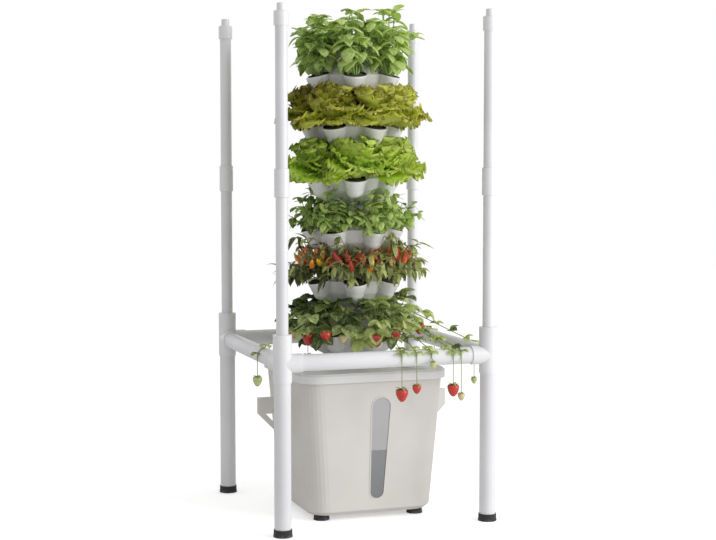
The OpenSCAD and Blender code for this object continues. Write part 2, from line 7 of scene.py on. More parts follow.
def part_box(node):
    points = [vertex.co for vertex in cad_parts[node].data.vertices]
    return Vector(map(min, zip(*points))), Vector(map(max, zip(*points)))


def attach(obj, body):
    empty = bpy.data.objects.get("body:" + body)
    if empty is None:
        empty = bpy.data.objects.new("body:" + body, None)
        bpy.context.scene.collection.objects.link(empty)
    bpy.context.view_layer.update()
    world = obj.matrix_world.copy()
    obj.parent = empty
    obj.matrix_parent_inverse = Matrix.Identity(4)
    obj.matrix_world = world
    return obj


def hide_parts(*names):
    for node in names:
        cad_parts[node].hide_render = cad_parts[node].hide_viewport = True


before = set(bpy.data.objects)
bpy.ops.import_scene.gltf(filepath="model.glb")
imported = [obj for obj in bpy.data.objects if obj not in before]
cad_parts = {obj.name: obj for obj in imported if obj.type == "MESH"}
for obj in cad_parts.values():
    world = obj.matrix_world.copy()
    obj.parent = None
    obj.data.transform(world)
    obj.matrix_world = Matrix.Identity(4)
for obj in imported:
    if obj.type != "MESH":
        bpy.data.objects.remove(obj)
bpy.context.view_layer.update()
UP = Vector((0, 0, 1))
show = bpy.context.scene.collection.objects.link

# Camera
# The photograph was taken from the front left, a little above the middle of the tower, with a long lens.
camera_yaw = math.radians(18.8)
camera_pitch = math.radians(4.45)
camera_distance = 5.10
aim_height = 0.7515
aim_shift = 0.017
focal_pixels = 1619
picture_width = 716
sensor_width = 36

heading = Vector((
    math.sin(camera_yaw) * math.cos(camera_pitch),
    math.cos(camera_yaw) * math.cos(camera_pitch),
    -math.sin(camera_pitch),
))
rightward = Vector((math.cos(camera_yaw), -math.sin(camera_yaw), 0))
lens = bpy.data.cameras.new("camera")
lens.sensor_width = sensor_width
lens.lens = focal_pixels / picture_width * sensor_width
camera = bpy.data.objects.new("camera", lens)
camera.location = rightward * aim_shift + UP * aim_height - heading * camera_distance
camera.rotation_euler = heading.to_track_quat("-Z", "Y").to_euler()
show(camera)
bpy.context.scene.camera = camera

# Frame pipes
# Legs, rails and the thin poles are extruded white plastic pipe. Drawing the pipe leaves faint lines along
# it, and handling leaves soft marks; each run of pipe is pushed into its fittings.
pipe_white = (0.80, 0.80, 0.82)
pipe_shade = (0.74, 0.74, 0.76)
handled_grey = (0.64, 0.63, 0.61)
draw_line_scale = 260
draw_line_stretch = 0.012
cloud_scale = 5
mark_scale = 38


def put(tree, kind, values=(), **settings):
    """Adds a node; values maps an input's name or number to a value, a three-part colour or an output."""
    made = tree.nodes.new(kind)
    for key, value in settings.items():
        setattr(made, key, value)
    for key, value in dict(values).items():
        socket = made.inputs[key]
        if isinstance(value, bpy.types.NodeSocket):
            tree.links.new(value, socket)
        else:
            socket.default_value = (*value, 1) if socket.type == "RGBA" else value
    return made


def new_finish(name):
    """An empty material; returns it with its node tree and the place on the piece that patterns follow."""
    finish = bpy.data.materials.new(name)
    finish.use_nodes = True
    tree = finish.node_tree
    tree.nodes.clear()
    return finish, tree, put(tree, "ShaderNodeTexCoord").outputs["Object"]


def close_finish(tree, values):
    """Ends a material in one plain shader with these inputs."""
    skin = put(tree, "ShaderNodeBsdfPrincipled", values)
    put(tree, "ShaderNodeOutputMaterial", {"Surface": skin.outputs["BSDF"]})


def maths(tree, operation, first, second=0.0):
    return put(tree, "ShaderNodeMath", {0: first, 1: second}, operation=operation).outputs[0]


def parts_of(tree, vector):
    return put(tree, "ShaderNodeSeparateXYZ", {"Vector": vector}).outputs


def mix_shaders(tree, share, first, second):
    return put(tree, "ShaderNodeMixShader", {0: share, 1: first, 2: second}).outputs["Shader"]


def own_values(tree):
    """Each leaf's or fruit's own tint, and the parts of its UV map."""
    tint = put(tree, "ShaderNodeAttribute", attribute_name="tint").outputs["Fac"]
    return tint, parts_of(tree, put(tree, "ShaderNodeUVMap", uv_map="UVMap").outputs["UV"])


def stretched(tree, vector, scale):
    return put(tree, "ShaderNodeMapping", {"Vector": vector, "Scale": scale}).outputs["Vector"]


def noise(tree, place, scale, detail=3, roughness=0.5):
    return put(tree, "ShaderNodeTexNoise", {
        "Vector": place, "Scale": scale, "Detail": detail, "Roughness": roughness,
    }).outputs["Fac"]


def ramp(tree, value, low, high, bottom=0, top=1):
    return put(tree, "ShaderNodeMapRange", {
        "Value": value, "From Min": low, "From Max": high, "To Min": bottom, "To Max": top,
    }, interpolation_type="SMOOTHSTEP").outputs["Result"]


def blend_colours(tree, share, first, second):
    """Mixes two colours; each is a colour or another node's output."""
    return put(tree, "ShaderNodeMix", {"Factor": share, 6: first, 7: second}, data_type="RGBA").outputs[2]


def bump(tree, height, strength, distance, under=None):
    values = {"Height": height, "Strength": strength, "Distance": distance}
    if under is not None:
        values["Normal"] = under
    return put(tree, "ShaderNodeBump", values).outputs["Normal"]


def pipe_finish(name, axis):
    """Extruded pipe that runs along axis 0, 1 or 2."""
    finish, tree, place = new_finish(name)
    stretch = [1.0, 1.0, 1.0]
    stretch[axis] = draw_line_stretch
    lines = noise(tree, stretched(tree, place, stretch), draw_line_scale, 2)
    clouds = noise(tree, place, cloud_scale, 4)
    smudges = ramp(tree, noise(tree, place, mark_scale, 5, 0.7), 0.62, 0.8, 0, 0.25)
    colour = blend_colours(tree, ramp(tree, clouds, 0.35, 0.7), pipe_white, pipe_shade)
    colour = blend_colours(tree, smudges, colour, handled_grey)
    close_finish(tree, {
        "Base Color": colour,
        "Roughness": ramp(tree, clouds, 0.3, 0.75, 0.3, 0.42),
        "Normal": bump(tree, lines, 0.25, 0.0004),
    })
    return finish


def dress(names, finish):
    """Gives CAD nodes a finish."""
    for name in names:
        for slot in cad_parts[name].material_slots:
            slot.material = finish


corners = ("front_left", "front_right", "rear_left", "rear_right")
uprights = [f"{pipe}_{corner}" for pipe in ("leg", "lower_pole", "upper_pole") for corner in corners]
dress(uprights, pipe_finish("pipe_upright", 2))
dress(["rail_front", "rail_rear"], pipe_finish("pipe_across", 0))
dress(["rail_left", "rail_right"], pipe_finish("pipe_deep", 1))

# Fittings, couplings and caps
# These are injection mouldings in a glossier white, with the fine orange peel of a polished tool.
fitting_white = (0.82, 0.82, 0.83)
fitting_shade = (0.78, 0.78, 0.80)


def moulded_finish(name, colour, shade, roughness, peel=900, depth=0.00012, coat=0.0):
    """Moulded plastic: slow clouds in colour and gloss over a fine grain of the given scale."""
    finish, tree, place = new_finish(name)
    clouds = noise(tree, place, 7, 4)
    grain = noise(tree, place, peel, 2)
    smears = noise(tree, place, 24, 6, 0.65)
    close_finish(tree, {
        "Base Color": blend_colours(tree, ramp(tree, clouds, 0.35, 0.7), colour, shade),
        "Roughness": ramp(tree, smears, 0.35, 0.7, roughness - 0.05, roughness + 0.07),
        "Coat Weight": coat,
        "Coat Roughness": 0.18,
        "Normal": bump(tree, grain, 0.3, depth),
    })
    return finish


fittings = [f"corner_fitting_{corner}" for corner in corners] + ["pole_couplings", "pole_caps"]
dress(fittings, moulded_finish("fitting_plastic", fitting_white, fitting_shade, 0.3, 620))

# Rubber feet
# Black rubber cups under the legs and round pads under the tank, dull and a little dusty at the floor.
rubber_black = (0.018, 0.018, 0.019)
dust_grey = (0.11, 0.105, 0.1)
dust_height = 0.012

finish, tree, place = new_finish("foot_rubber")
low_down = ramp(tree, parts_of(tree, place)["Z"], dust_height, 0.0)
dust = maths(tree, "MULTIPLY", low_down, ramp(tree, noise(tree, place, 90, 4), 0.4, 0.65))
close_finish(tree, {
    "Base Color": blend_colours(tree, dust, rubber_black, dust_grey),
    "Roughness": ramp(tree, noise(tree, place, 60, 3), 0.3, 0.7, 0.5, 0.68),
    "Normal": bump(tree, noise(tree, place, 1400, 2), 0.4, 0.0002),
})
dress(["leg_feet", "tank_feet"], finish)

# Water tank
# The tank is a tapered shell of warm white plastic with a fine spark-eroded grain; its lid is a cleaner
# white, overhangs the wall and carries the tower.
tank_white = (0.70, 0.675, 0.635)
tank_shade = (0.665, 0.64, 0.60)
lid_white = (0.80, 0.80, 0.79)
lid_shade = (0.77, 0.77, 0.76)

dress(["tank", "window_frame"], moulded_finish("tank_plastic", tank_white, tank_shade, 0.4, 1500, 0.0001))
dress(["tank_lid", "fill_cap"], moulded_finish("lid_plastic", lid_white, lid_shade, 0.34, 1100))

# Level window
# A strip of smoked clear plastic in the front wall: pale where the tank is empty, darker below the water.
water_level = 0.216
air_height = 0.17
water_depth = 0.16
line_width = 0.002
ripple_height = 0.0012
window_air = (0.42, 0.42, 0.425)
window_top = (0.46, 0.46, 0.465)
window_water = (0.235, 0.24, 0.245)
window_deep = (0.20, 0.205, 0.21)

finish, tree, place = new_finish("window_clear")
level = parts_of(tree, place)["Z"]
waves = ramp(tree, noise(tree, place, 30, 1), 0.3, 0.7, -ripple_height, ripple_height)
deeper = ramp(tree, level, water_level, water_level - water_depth)
higher = ramp(tree, level, water_level, water_level + air_height)
above_water = ramp(tree, maths(tree, "ADD", level, waves), water_level - line_width / 2,
                   water_level + line_width / 2)
colour = blend_colours(tree, above_water, blend_colours(tree, deeper, window_water, window_deep),
                       blend_colours(tree, higher, window_air, window_top))
close_finish(tree, {
    "Base Color": colour,
    "Roughness": 0.16,
    "Coat Weight": 0.6,
    "Coat Roughness": 0.05,
    "Normal": bump(tree, noise(tree, place, 14, 2), 0.08, 0.002),
})
dress(["level_window"], finish)

# Pump, shaft and riser
# The submersible pump stands on the tank's floor: black mouldings, a steel shaft and a white riser pipe.
pump_black = (0.025, 0.026, 0.028)
pump_shade = (0.035, 0.035, 0.037)
riser_white = (0.78, 0.78, 0.78)
riser_shade = (0.74, 0.74, 0.74)
turning_lines = (1, 1, 60)

dress(["pump_housing", "pump_impeller"], moulded_finish("pump_plastic", pump_black, pump_shade, 0.42, 1300))
finish, tree, place = new_finish("shaft_steel")
turned = stretched(tree, place, turning_lines)
close_finish(tree, {
    "Base Color": (0.56, 0.56, 0.57),
    "Metallic": 1.0,
    "Roughness": ramp(tree, noise(tree, turned, 120, 2), 0.3, 0.7, 0.2, 0.34),
})
dress(["pump_shaft"], finish)
dress(["riser_pipe", "shower_plate"], moulded_finish("pipe_plastic", riser_white, riser_shade, 0.36))

# Tower
# The flange, six tiers and the cap are blow-moulded white plastic with a soft gloss, stacked spigot in
# socket around one open column.
tier_count = sum(name.startswith("tier_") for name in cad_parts)
tier_white = (0.79, 0.785, 0.79)
tier_shade = (0.74, 0.73, 0.735)
tower_finish = moulded_finish("tower_plastic", tier_white, tier_shade, 0.28, 700, 0.00015, 0.15)
dress(["tower_base", "top_cap"], tower_finish)
dress([f"tier_{number}" for number in range(1, tier_count + 1)], tower_finish)

# Net cups and root plugs
# Black slotted cups hang in the ports by their lips. Each holds a plug of damp growing sponge, whose rough
# top is domed a little.
port_circle = 0.123
port_lean = math.radians(15)
port_count = 6
tower_turn = 15
rim_above_floor = 0.084
plug_radius = 0.030
plug_drop = 0.003
plug_depth = 0.040
plug_top = 0.0044
plug_sides = 18
plug_rings = (
    (0.70, -plug_depth), (0.985, -0.004), (0.97, 0.0), (0.86, 0.0022), (0.6, 0.0036), (0.3, 0.0042),
)
cup_black = (0.022, 0.022, 0.023)
cup_shade = (0.03, 0.03, 0.03)
sponge_dark = (0.055, 0.043, 0.03)
sponge_mossy = (0.13, 0.12, 0.075)
spigot_height = 0.010
tier_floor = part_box("tower_base")[1].z - spigot_height
tier_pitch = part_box("tier_2")[0].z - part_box("tier_1")[0].z
dress([f"net_cups_{number}" for number in range(1, tier_count + 1)],
      moulded_finish("cup_plastic", cup_black, cup_shade, 0.45, 1500))


class Port:
    """A port's rim and directions: out of the tower, along its side and up the cup; rightness is -1 to 1."""

    def __init__(self, tier, number):
        self.number = number
        turn = tower_turn if tier % 2 == 1 else -tower_turn
        angle = math.radians(turn - 90 + number * 360 / port_count)
        self.out = Vector((math.cos(angle), math.sin(angle), 0))
        self.side = Vector((-math.sin(angle), math.cos(angle), 0))
        self.axis = (self.out * math.sin(port_lean) + UP * math.cos(port_lean)).normalized()
        self.rim = self.out * port_circle + UP * (tier_floor + (tier - 1) * tier_pitch + rim_above_floor)
        self.rightness = self.out.dot(rightward)

    def at(self, out, side, up):
        return self.rim + self.out * out + self.side * side + UP * up

    def around(self, spin, reach, up):
        """A place at an angle round the plant's axis, in degrees."""
        return self.at(reach * math.cos(math.radians(spin)), reach * math.sin(math.radians(spin)), up)

    def towards(self, spin, rise):
        """A direction at an angle round the plant's axis and a rise, in degrees; spin 0 is outwards."""
        level = self.out * math.cos(math.radians(spin)) + self.side * math.sin(math.radians(spin))
        return level * math.cos(math.radians(rise)) + UP * math.sin(math.radians(rise))


def ports_of(tier):
    return [Port(tier, number) for number in range(port_count)]


def mesh_object(name, points, faces, finish):
    mesh = bpy.data.meshes.new(name)
    mesh.from_pydata([tuple(point) for point in points], [], faces)
    mesh.shade_smooth()
    mesh.materials.append(finish)
    return bpy.data.objects.new(name, mesh)


def pattern_object(name, points, faces, uv, finish):
    """A mesh object for instances, with the UV place of each point; it stays out of the scene."""
    made = mesh_object(name, points, faces, finish)
    store = made.data.uv_layers.new(name="UVMap")
    for loop in made.data.loops:
        store.data[loop.index].uv = uv[loop.vertex_index]
    return made


def facing(direction, upper):
    """Euler turn that lays a pattern's +Y along direction with its +Z turned to upper."""
    along = direction.normalized()
    face = (upper - along * upper.dot(along)).normalized()
    return Matrix((along.cross(face), along, face)).transposed().to_euler()


plug_finish, tree, place = new_finish("plug_sponge")
pores = put(tree, "ShaderNodeTexVoronoi", {"Vector": place, "Scale": 420}).outputs["Distance"]
damp = noise(tree, place, 60, 5, 0.7)
close_finish(tree, {
    "Base Color": blend_colours(tree, ramp(tree, damp, 0.35, 0.65), sponge_dark, sponge_mossy),
    "Roughness": 0.92,
    "Normal": bump(tree, pores, 0.8, 0.0015, bump(tree, damp, 0.6, 0.002)),
})


def plug_shape(port, draw):
    rings = []
    for share, height in plug_rings:
        for step in range(plug_sides):
            angle = 2 * math.pi * step / plug_sides
            reach = plug_radius * share * (1 + draw.uniform(-0.02, 0.02))
            rough = draw.uniform(-0.0007, 0.0007)
            rings.append((reach * math.cos(angle), reach * math.sin(angle), height - plug_drop + rough))
    turn = Matrix((port.side.cross(port.axis), port.side, port.axis)).transposed()
    low = port.rim - port.axis * (plug_depth + plug_drop)
    high = port.rim + port.axis * (plug_top - plug_drop)
    points = [port.rim + turn @ Vector(point) for point in rings] + [low, high]
    return points, stack_faces(len(plug_rings), plug_sides)


def stack_faces(rows, sides):
    """Faces of a stack of rings whose two middle points come after the rings."""
    faces = []
    for row in range(rows - 1):
        for step in range(sides):
            low = row * sides
            following = (step + 1) % sides
            faces.append((low + step, low + following, low + sides + following, low + sides + step))
    bottom = rows * sides
    top = bottom - sides
    for step in range(sides):
        following = (step + 1) % sides
        faces.append((bottom, following, step))
        faces.append((bottom + 1, top + step, top + following))
    return faces


def joined(shapes):
    """The points and faces of several shapes as one."""
    points = []
    faces = []
    for more_points, more_faces in shapes:
        faces += [tuple(len(points) + corner for corner in face) for face in more_faces]
        points += more_points
    return points, faces


draw = random.Random(5)
for tier in range(1, tier_count + 1):
    points, faces = joined(plug_shape(port, draw) for port in ports_of(tier))
    plugs = mesh_object(f"root_plugs_{tier}", points, faces, plug_finish)
    show(plugs)
    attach(plugs, "tower")

# Planting
# Every plant is stems, leaves and sometimes fruit that repeat along a rule, so one node tree grows them all:
# tubes along the stems, and leaf and fruit patterns set on marked points.
STEM = 0
LEAF = 1
FRUIT = 2
stem_sides = 6
golden_turn = 137.5
foot_depth = 0.002
crown_out = 0.004
marks = {
    "kind": ("INT", STEM), "form": ("INT", 0), "size": ("FLOAT", 1.0), "tint": ("FLOAT", 0.5),
    "thick": ("FLOAT", 0.001), "turn": ("FLOAT_VECTOR", (0, 0, 0)),
}


def planting_tree():
    tree = bpy.data.node_groups.new("planting", "GeometryNodeTree")
    tree.is_modifier = True
    inputs = (("Geometry", "Geometry"), ("Leaves", "Collection"), ("Fruits", "Collection"),
              ("Stem finish", "Material"))
    for label, kind in inputs:
        tree.interface.new_socket(label, in_out="INPUT", socket_type="NodeSocket" + kind)
    tree.interface.new_socket("Geometry", in_out="OUTPUT", socket_type="NodeSocketGeometry")
    given = put(tree, "NodeGroupInput").outputs

    def add(kind, output, values, **settings):
        return put(tree, kind, values, **settings).outputs[output]

    def attribute(name):
        return add("GeometryNodeInputNamedAttribute", "Attribute", {"Name": name}, data_type=marks[name][0])

    def instances(kind, collection):
        chosen = add("FunctionNodeCompare", "Result", {2: attribute("kind"), 3: kind},
                     data_type="INT", operation="EQUAL")
        dots = add("GeometryNodeMeshToPoints", "Points", {"Mesh": given["Geometry"], "Selection": chosen})
        placed = add("GeometryNodeInstanceOnPoints", "Instances", {
            "Points": dots,
            "Instance": add("GeometryNodeCollectionInfo", "Instances", {
                "Collection": given[collection], "Separate Children": True, "Reset Children": True,
            }),
            "Pick Instance": True,
            "Instance Index": attribute("form"),
            "Rotation": attribute("turn"),
            "Scale": attribute("size"),
        })
        return add("GeometryNodeRealizeInstances", "Geometry", {"Geometry": placed})

    tubes = add("GeometryNodeCurveToMesh", "Mesh", {
        "Curve": add("GeometryNodeMeshToCurve", "Curve", {"Mesh": given["Geometry"]}),
        "Profile Curve": add("GeometryNodeCurvePrimitiveCircle", "Curve", {
            "Resolution": stem_sides, "Radius": 1.0,
        }),
        "Scale": attribute("thick"),
        "Fill Caps": True,
    })
    stems = add("GeometryNodeSetMaterial", "Geometry", {
        "Geometry": add("GeometryNodeSetShadeSmooth", "Geometry", {"Geometry": tubes}),
        "Material": given["Stem finish"],
    })
    join = put(tree, "GeometryNodeJoinGeometry")
    for part in (stems, instances(LEAF, "Leaves"), instances(FRUIT, "Fruits")):
        tree.links.new(part, join.inputs["Geometry"])
    put(tree, "NodeGroupOutput", {"Geometry": join.outputs["Geometry"]})
    return tree


planting = planting_tree()


class Bed:
    """The stems and the leaf and fruit points of one piece, gathered before it is grown."""

    def __init__(self, seed):
        self.points = []
        self.edges = []
        self.marks = {name: [] for name in marks}
        self.draw = random.Random(seed)

    def mark(self, point, **given):
        self.points.append(tuple(point))
        for name, (_, usual) in marks.items():
            self.marks[name].append(given.get(name, usual))

    def stem(self, path, radii):
        """A tube along a path that narrows from the first radius to the second."""
        start, end = radii
        first = len(self.points)
        for step, point in enumerate(path):
            self.mark(point, thick=start + (end - start) * step / (len(path) - 1))
        self.edges += [(first + step, first + step + 1) for step in range(len(path) - 1)]

    def leaf(self, point, direction, upper, size, tint, forms, first=0):
        """Sets one of the leaf patterns from first up to forms."""
        form = self.draw.randrange(first, forms)
        self.mark(point, kind=LEAF, form=form, size=size, tint=tint, turn=facing(direction, upper))

    def fruit(self, point, direction, upper, size, tint, form=0):
        self.mark(point, kind=FRUIT, form=form, size=size, tint=tint, turn=facing(direction, upper))

    def vary(self, value, share=0.15):
        return value * self.draw.uniform(1 - share, 1 + share)

    def spiral(self, number, jitter):
        """Where the next stem stands round a plant, in degrees."""
        return golden_turn * number + self.draw.uniform(-jitter, jitter)


def bend(start, direction, length, droop, steps):
    """Points along a stem that sets out in a direction and droops under its own weight."""
    points = [start.copy()]
    heading = direction.normalized()
    for _ in range(steps):
        points.append(points[-1] + heading * (length / steps))
        heading = (heading - UP * (droop / steps)).normalized()
    return points


def inwardness(spin):
    """From 0 to 1 as a stem turns in towards the tower."""
    return max(0.0, -math.cos(math.radians(spin)))


def grow(name, bed, leaves, fruits, stem_skin):
    """Runs the planting tree over a bed and returns the result as one plain mesh object."""
    mesh = bpy.data.meshes.new(name)
    mesh.from_pydata(bed.points, bed.edges, [])
    for mark, (kind, _) in marks.items():
        store = mesh.attributes.new(mark, kind, "POINT")
        if kind == "FLOAT_VECTOR":
            store.data.foreach_set("vector", [part for value in bed.marks[mark] for part in value])
        else:
            store.data.foreach_set("value", bed.marks[mark])
    made = bpy.data.objects.new(name, mesh)
    show(made)
    groups = []
    for label, patterns in (("leaves", leaves), ("fruits", fruits)):
        group = bpy.data.collections.new(f"{name}_{label}")
        for number, pattern in enumerate(patterns):
            pattern.name = f"{name}_{label}_{number}"
            group.objects.link(pattern)
        groups.append(group)
    modifier = made.modifiers.new("planting", "NODES")
    modifier.node_group = planting
    given = {"Leaves": groups[0], "Fruits": groups[1], "Stem finish": stem_skin}
    for item in planting.interface.items_tree:
        if item.in_out == "INPUT" and item.name in given:
            modifier[item.identifier] = given[item.name]
    grown = made.evaluated_get(bpy.context.evaluated_depsgraph_get())
    plain = bpy.data.meshes.new_from_object(grown)
    made.modifiers.remove(modifier)
    made.data = plain
    for group, patterns in zip(groups, (leaves, fruits)):
        for pattern in patterns:
            bpy.data.objects.remove(pattern)
        bpy.data.collections.remove(group)
    for used in marks:
        if used != "tint" and used in plain.attributes:
            plain.attributes.remove(plain.attributes[used])
    return made


leaf_thickness = 0.006
leaf_translucence = 0.46
leaf_specular = 0.42
leaf_point = 0.004
vein_slant = 0.33
fibre_stretch = (1, 1, 0.12)
mottle_scale = 130


def leaf_upwards(shape, form, v, u):
    """The direction square to a leaf's upper side at one point of it."""
    step = 0.01
    across = Vector(shape(form, v, u + step)) - Vector(shape(form, v, u - step))
    along = Vector(shape(form, min(1, v + step), u)) - Vector(shape(form, max(0, v - step), u))
    return across.cross(along).normalized()


def leaf_pattern(shape, form, rows, columns, finish):
    """A closed thin leaf of unit length along +Y; shape gives its point at v along it and u across it."""
    points = []
    uv = []
    for layer in (0, 1):
        for row in range(rows + 1):
            for column in range(columns + 1):
                v = row / rows
                u = 2 * column / columns - 1
                upwards = leaf_upwards(shape, form, v, u)
                points.append(Vector(shape(form, v, u)) - upwards * layer * leaf_thickness)
                uv.append((column / columns, v))
    wide = columns + 1
    lower = (rows + 1) * wide
    faces = []
    for row in range(rows):
        for column in range(columns):
            a = row * wide + column
            faces.append((a, a + 1, a + wide + 1, a + wide))
            faces.append((lower + a, lower + a + wide, lower + a + wide + 1, lower + a + 1))
    edge = range(columns)
    ring = [(column, column + 1) for column in edge]
    ring += [(row * wide + columns, (row + 1) * wide + columns) for row in range(rows)]
    ring += [(rows * wide + column + 1, rows * wide + column) for column in reversed(edge)]
    ring += [((row + 1) * wide, row * wide) for row in reversed(range(rows))]
    for first, second in ring:
        faces.append((first, lower + first, lower + second, second))
    return pattern_object("leaf", points, faces, uv, finish)


def leaf_patterns(shape, forms, rows, columns, finish):
    return [leaf_pattern(shape, form, rows, columns, finish) for form in range(forms)]


def curl(length, turn):
    """Where a point lies, along and up, on a leaf that curls down by turn, in radians, over its length."""
    angle = turn * length
    return math.sin(angle) / turn, (math.cos(angle) - 1) / turn


def leaf_finish(name, deep, bright, rib, edges, edge_start, veins, gloss):
    """Leaf skin: deep to bright by each leaf's own tint, a pale midrib, side veins and a coloured margin.

    Part of the tint is painted light: the plants raise it on the side that faces the lamp.
    edges holds the margin's colour on a deep and on a bright leaf.
    """
    finish, tree, place = new_finish(name)
    tint, spread = own_values(tree)
    centred = maths(tree, "SUBTRACT", maths(tree, "MULTIPLY", spread["X"], 2.0), 1.0)
    across = maths(tree, "ABSOLUTE", centred)
    along = spread["Y"]
    midrib = ramp(tree, across, 0.13, 0.03)
    slanted = maths(tree, "SUBTRACT", along, maths(tree, "MULTIPLY", across, vein_slant))
    wave = maths(tree, "PINGPONG", maths(tree, "MULTIPLY", slanted, veins), 0.5)
    side_veins = ramp(tree, wave, 0.11, 0.0)
    mottle = noise(tree, place, mottle_scale, 3)
    shade = maths(tree, "ADD", tint, ramp(tree, mottle, 0.3, 0.7, -0.22, 0.22))
    body = blend_colours(tree, ramp(tree, shade, -0.15, 0.85), deep, bright)
    fringe = maths(tree, "ADD", maths(tree, "MAXIMUM", across, along),
                   ramp(tree, mottle, 0.3, 0.7, -0.12, 0.12))
    edge = blend_colours(tree, ramp(tree, shade, 0.0, 0.8), edges[0], edges[1])
    body = blend_colours(tree, ramp(tree, fringe, edge_start, 1.02), body, edge)
    lines = maths(tree, "MAXIMUM", midrib, maths(tree, "MULTIPLY", side_veins, 0.45))
    colour = blend_colours(tree, maths(tree, "MULTIPLY", lines, 0.8), body, rib)
    blister = bump(tree, side_veins, 0.5, -0.0012, bump(tree, mottle, 0.35, 0.0015))
    skin = put(tree, "ShaderNodeBsdfPrincipled", {
        "Base Color": colour,
        "Roughness": ramp(tree, mottle, 0.3, 0.7, gloss - 0.06, gloss + 0.08),
        "Specular IOR Level": leaf_specular,
        "Normal": bump(tree, midrib, 0.6, -0.002, blister),
    })
    through = put(tree, "ShaderNodeBsdfTranslucent", {"Color": colour})
    both = mix_shaders(tree, leaf_translucence, skin.outputs["BSDF"], through.outputs["BSDF"])
    put(tree, "ShaderNodeOutputMaterial", {"Surface": both})
    return finish


def stem_finish(name, colour, shade):
    finish, tree, place = new_finish(name)
    patches = noise(tree, place, 70, 3)
    fibres = noise(tree, stretched(tree, place, fibre_stretch), 900)
    close_finish(tree, {
        "Base Color": blend_colours(tree, ramp(tree, patches, 0.35, 0.65), colour, shade),
        "Roughness": 0.5,
        "Normal": bump(tree, fibres, 0.4, 0.0004),
    })
    return finish


def plant_tier(name, tier, seed, plant, leaves, stem_skin, fruits=(), numbers=()):
    """Plants every port of a tier, with the plant's numbers; the result takes the place of the crowns."""
    bed = Bed(seed)
    for port in ports_of(tier):
        plant(bed, port, *numbers)
    piece = grow(name, bed, leaves, fruits, stem_skin)
    node = f"plants_{tier}"
    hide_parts(node)
    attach(piece, "tower")


# Basil, top tier
# Sweet basil: upright stems with broad, domed, glossy leaves in crossed pairs, biggest low down.
basil_forms = 3
basil_finish = leaf_finish(
    "basil_leaf", (0.25, 0.42, 0.06), (0.76, 0.88, 0.36), (0.74, 0.84, 0.42),
    ((0.22, 0.38, 0.05), (0.60, 0.78, 0.24)), 0.9, 6, 0.4,
)
basil_stem_finish = stem_finish("basil_stem", (0.30, 0.46, 0.12), (0.22, 0.38, 0.08))


def basil_leaf(form, v, u):
    half = (0.62 + 0.05 * form) / 2 * math.sin(math.pi * v ** 0.82) ** 0.75 + leaf_point
    y, z = curl(v, (1.05, 0.7, 1.4)[form])
    dome = 0.30 * half * (1 - u * u)
    blisters = 0.02 * math.sin(v * 19 + form) * math.cos(u * 4) * math.sin(math.pi * v)
    return u * half, y, z + dome + blisters


def basil_plant(bed, port):
    height = 0.184 + 0.010 * port.rightness
    # Painted light: plants on the right, towards the lamp, get a brighter tint.
    tint = 0.62 + 0.22 * port.rightness
    stems = 8
    levels = 7
    foot_circle = 0.008
    side_share = 0.80
    leaf_length = 0.058
    tip_length = 0.036
    stem_radii = (0.0026, 0.0016)
    stalk_radii = (0.0011, 0.0009)
    for number in range(stems):
        spin = 360 * number / stems + bed.draw.uniform(-20, 20) + 25
        rise = bed.draw.uniform(62, 78) - 4 * math.cos(math.radians(spin))
        length = bed.vary(side_share * height, 0.12)
        if number % 4 == 0:
            rise = 87
            length = height
        base = port.around(spin, foot_circle, -foot_depth)
        path = bend(base, port.towards(spin, rise), length, 0.10, levels)
        bed.stem(path, stem_radii)
        for level in range(2, levels + 1):
            joint = path[level]
            share = level / levels
            reach = bed.vary(leaf_length, 0.2) * (1.08 - 0.35 * share)
            droop = 14 - 26 * share
            for half in (0, 1):
                turn = spin + 90 * (level % 2) + 180 * half + bed.draw.uniform(-26, 26)
                direction = port.towards(turn, bed.draw.uniform(-22, 22) - droop)
                stalk = joint + (direction + UP * 0.5) * reach * 0.16
                bed.stem([joint, stalk], stalk_radii)
                bed.leaf(stalk, direction, UP, reach, tint + bed.draw.uniform(-0.42, 0.42), basil_forms)
        for turn in (0, 120, 240):
            direction = port.towards(spin + turn, 38)
            bed.leaf(path[-1], direction, UP, bed.vary(tip_length), tint + 0.3, basil_forms)


basil_leaves = leaf_patterns(basil_leaf, basil_forms, 8, 6, basil_finish)
plant_tier("basil", 6, 61, basil_plant, basil_leaves, basil_stem_finish)

# Lettuces, second and third tier
# Loose-leaf heads: every leaf is a broad spoon with a pale rib and a frilled edge, laid round in a rosette,
# upright in the heart and nearly flat outside. The upper tier has bronze oak leaves, the lower lime ones.
lettuce_forms = 4
heart_forms = 2
heart_share = 0.45
lettuce_leaves = 32


def lettuce_leaf(lobes, frill, width):
    """An oak leaf where lobes cut deep; frill is how far its edge waves up and down."""
    widest = 0.66
    ruffles = 4.6

    def shape(form, v, u):
        spoon = 0.16 + 0.84 * math.sin(math.pi / 2 * min(1.0, v / widest)) ** 1.4
        tip = math.sqrt(max(0.0, 1 - max(0.0, (v - widest) / (1.02 - widest)) ** 2.4))
        notch = 1 - lobes * (0.5 + 0.5 * math.cos(2 * math.pi * (4.1 * v + 0.3 * form))) * abs(u) ** 1.5
        half = width / 2 * spoon * tip * notch + 0.006
        y, z = curl(v, (0.3, 0.6, 1.0, 1.35)[form])
        rim = max(abs(u) ** 2 * min(1, 2.2 * v), max(0.0, (v - 0.7) / 0.3) ** 1.3)
        wave = math.sin(2 * math.pi * (ruffles * v + 1.6 * u + 0.37 * form))
        wave += 0.5 * math.sin(17 * v - 9 * u + form)
        cup = 0.22 * u * u * half
        return u * half * (1 + 0.12 * rim * wave), y + 0.03 * rim * wave, z + cup + frill * rim * wave
    return shape


